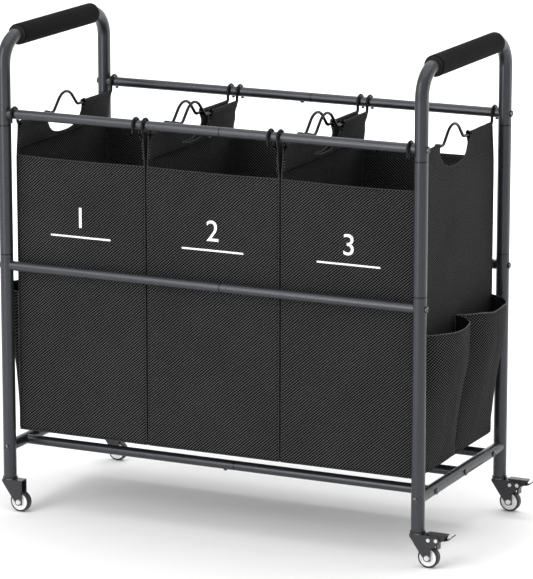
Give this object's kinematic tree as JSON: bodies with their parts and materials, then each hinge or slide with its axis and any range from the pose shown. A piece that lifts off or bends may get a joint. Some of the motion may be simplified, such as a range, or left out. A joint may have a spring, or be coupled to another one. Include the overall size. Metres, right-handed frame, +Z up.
{
  "type": "laundry sorter on wheels",
  "caption": "Knock-down tube frame on swivel casters with foam push handles; open fabric bags hang side by side on lift-off wire hangers, with pockets on the ends.",
  "frame": {"origin": "floor level, under the centre of the whole sorter's bounding box", "axes": "+X along the rails towards the braked casters, +Y from the front to the back, +Z up"},
  "size_m": [0.8395, 0.3792, 0.8155],
  "materials": {
    "frame_coat": "dark grey powder coat, satin",
    "foam": "closed-cell foam, matte",
    "black_steel": "black oxide screws",
    "zinc": "bright zinc",
    "black_plastic": "moulded nylon",
    "fork_plate": "dark grey coated sheet, satin",
    "pedal_plate": "black coated sheet",
    "tyre": "dark grey rubber",
    "hub_plastic": "white moulded plastic",
    "bag_cloth": "black oxford cloth",
    "wire_coat": "gloss black dipped wire"
  },
  "bodies": {
    "frame": {"left_handle_tube": "frame_coat", "right_handle_tube": "frame_coat", "left_foam_grip": "foam", "right_foam_grip": "foam", "front_left_middle_post": "frame_coat", "front_right_middle_post": "frame_coat", "back_left_middle_post": "frame_coat", "back_right_middle_post": "frame_coat", "front_left_lower_post": "frame_coat", "front_right_lower_post": "frame_coat", "back_left_lower_post": "frame_coat", "back_right_lower_post": "frame_coat", "front_top_rail_left": "frame_coat", "front_top_rail_right": "frame_coat", "back_top_rail_left": "frame_coat", "back_top_rail_right": "frame_coat", "front_middle_rail_left": "frame_coat", "front_middle_rail_right": "frame_coat", "back_middle_rail_left": "frame_coat", "back_middle_rail_right": "frame_coat", "low_rails_left": "frame_coat", "low_rails_right": "frame_coat", "left_side_rail": "frame_coat", "right_side_rail": "frame_coat", "threaded_inserts": "zinc", "rail_end_screws": "black_steel", "rail_joint_screws": "black_steel", "side_rail_screws": "black_steel", "low_rail_screws": "black_steel", "caster_sockets": "black_plastic", "caster_stems": "zinc", "caster_washers": "zinc"},
    "left_bag_set": {"left_bag": "bag_cloth", "left_bag_wires": "wire_coat", "left_side_pockets": "bag_cloth"},
    "middle_bag_set": {"middle_bag": "bag_cloth", "middle_bag_wires": "wire_coat"},
    "right_bag_set": {"right_bag": "bag_cloth", "right_bag_wires": "wire_coat", "right_side_pockets": "bag_cloth"},
    "front_left_caster": {"front_left_fork": "fork_plate", "front_left_axle": "zinc"},
    "front_left_wheel": {"front_left_tyre": "tyre", "front_left_hub": "hub_plastic"},
    "front_right_caster": {"front_right_fork": "fork_plate", "front_right_axle": "zinc", "front_brake_pins": "zinc"},
    "front_right_wheel": {"front_right_tyre": "tyre", "front_right_hub": "hub_plastic"},
    "front_pedal": {"front_brake_pedal": "pedal_plate"},
    "back_left_caster": {"back_left_fork": "fork_plate", "back_left_axle": "zinc"},
    "back_left_wheel": {"back_left_tyre": "tyre", "back_left_hub": "hub_plastic"},
    "back_right_caster": {"back_right_fork": "fork_plate", "back_right_axle": "zinc", "back_brake_pins": "zinc"},
    "back_right_wheel": {"back_right_tyre": "tyre", "back_right_hub": "hub_plastic"},
    "back_pedal": {"back_brake_pedal": "pedal_plate"}
  },
  "joints": [
    {"name": "left_bag_lift", "type": "slide", "parent": "frame", "child": "left_bag_set", "axis": [0, 0, 1], "range_m": [0, 0.09]},
    {"name": "middle_bag_lift", "type": "slide", "parent": "frame", "child": "middle_bag_set", "axis": [0, 0, 1], "range_m": [0, 0.56]},
    {"name": "right_bag_lift", "type": "slide", "parent": "frame", "child": "right_bag_set", "axis": [0, 0, 1], "range_m": [0, 0.09]},
    {"name": "front_left_swivel", "type": "hinge", "parent": "frame", "child": "front_left_caster", "pos_m": [-0.38325, -0.1755, 0.0544], "axis": [0, 0, 1], "continuous": true},
    {"name": "front_left_roll", "type": "hinge", "parent": "front_left_caster", "child": "front_left_wheel", "pos_m": [-0.36325, -0.1755, 0.0175], "axis": [0, 1, 0], "continuous": true},
    {"name": "front_right_swivel", "type": "hinge", "parent": "frame", "child": "front_right_caster", "pos_m": [0.35675, -0.1755, 0.0544], "axis": [0, 0, 1], "continuous": true},
    {"name": "front_right_roll", "type": "hinge", "parent": "front_right_caster", "child": "front_right_wheel", "pos_m": [0.37675, -0.1755, 0.0175], "axis": [0, 1, 0], "continuous": true},
    {"name": "front_pedal_press", "type": "hinge", "parent": "front_right_caster", "child": "front_pedal", "pos_m": [0.39175, -0.1755, 0.0476], "axis": [0, 1, 0], "range_deg": [0, 26]},
    {"name": "back_left_swivel", "type": "hinge", "parent": "frame", "child": "back_left_caster", "pos_m": [-0.38325, 0.1755, 0.0544], "axis": [0, 0, 1], "continuous": true},
    {"name": "back_left_roll", "type": "hinge", "parent": "back_left_caster", "child": "back_left_wheel", "pos_m": [-0.36325, 0.1755, 0.0175], "axis": [0, 1, 0], "continuous": true},
    {"name": "back_right_swivel", "type": "hinge", "parent": "frame", "child": "back_right_caster", "pos_m": [0.35675, 0.1755, 0.0544], "axis": [0, 0, 1], "continuous": true},
    {"name": "back_right_roll", "type": "hinge", "parent": "back_right_caster", "child": "back_right_wheel", "pos_m": [0.37675, 0.1755, 0.0175], "axis": [0, 1, 0], "continuous": true},
    {"name": "back_pedal_press", "type": "hinge", "parent": "back_right_caster", "child": "back_pedal", "pos_m": [0.39175, 0.1755, 0.0476], "axis": [0, 1, 0], "range_deg": [0, 26]}
  ]
}
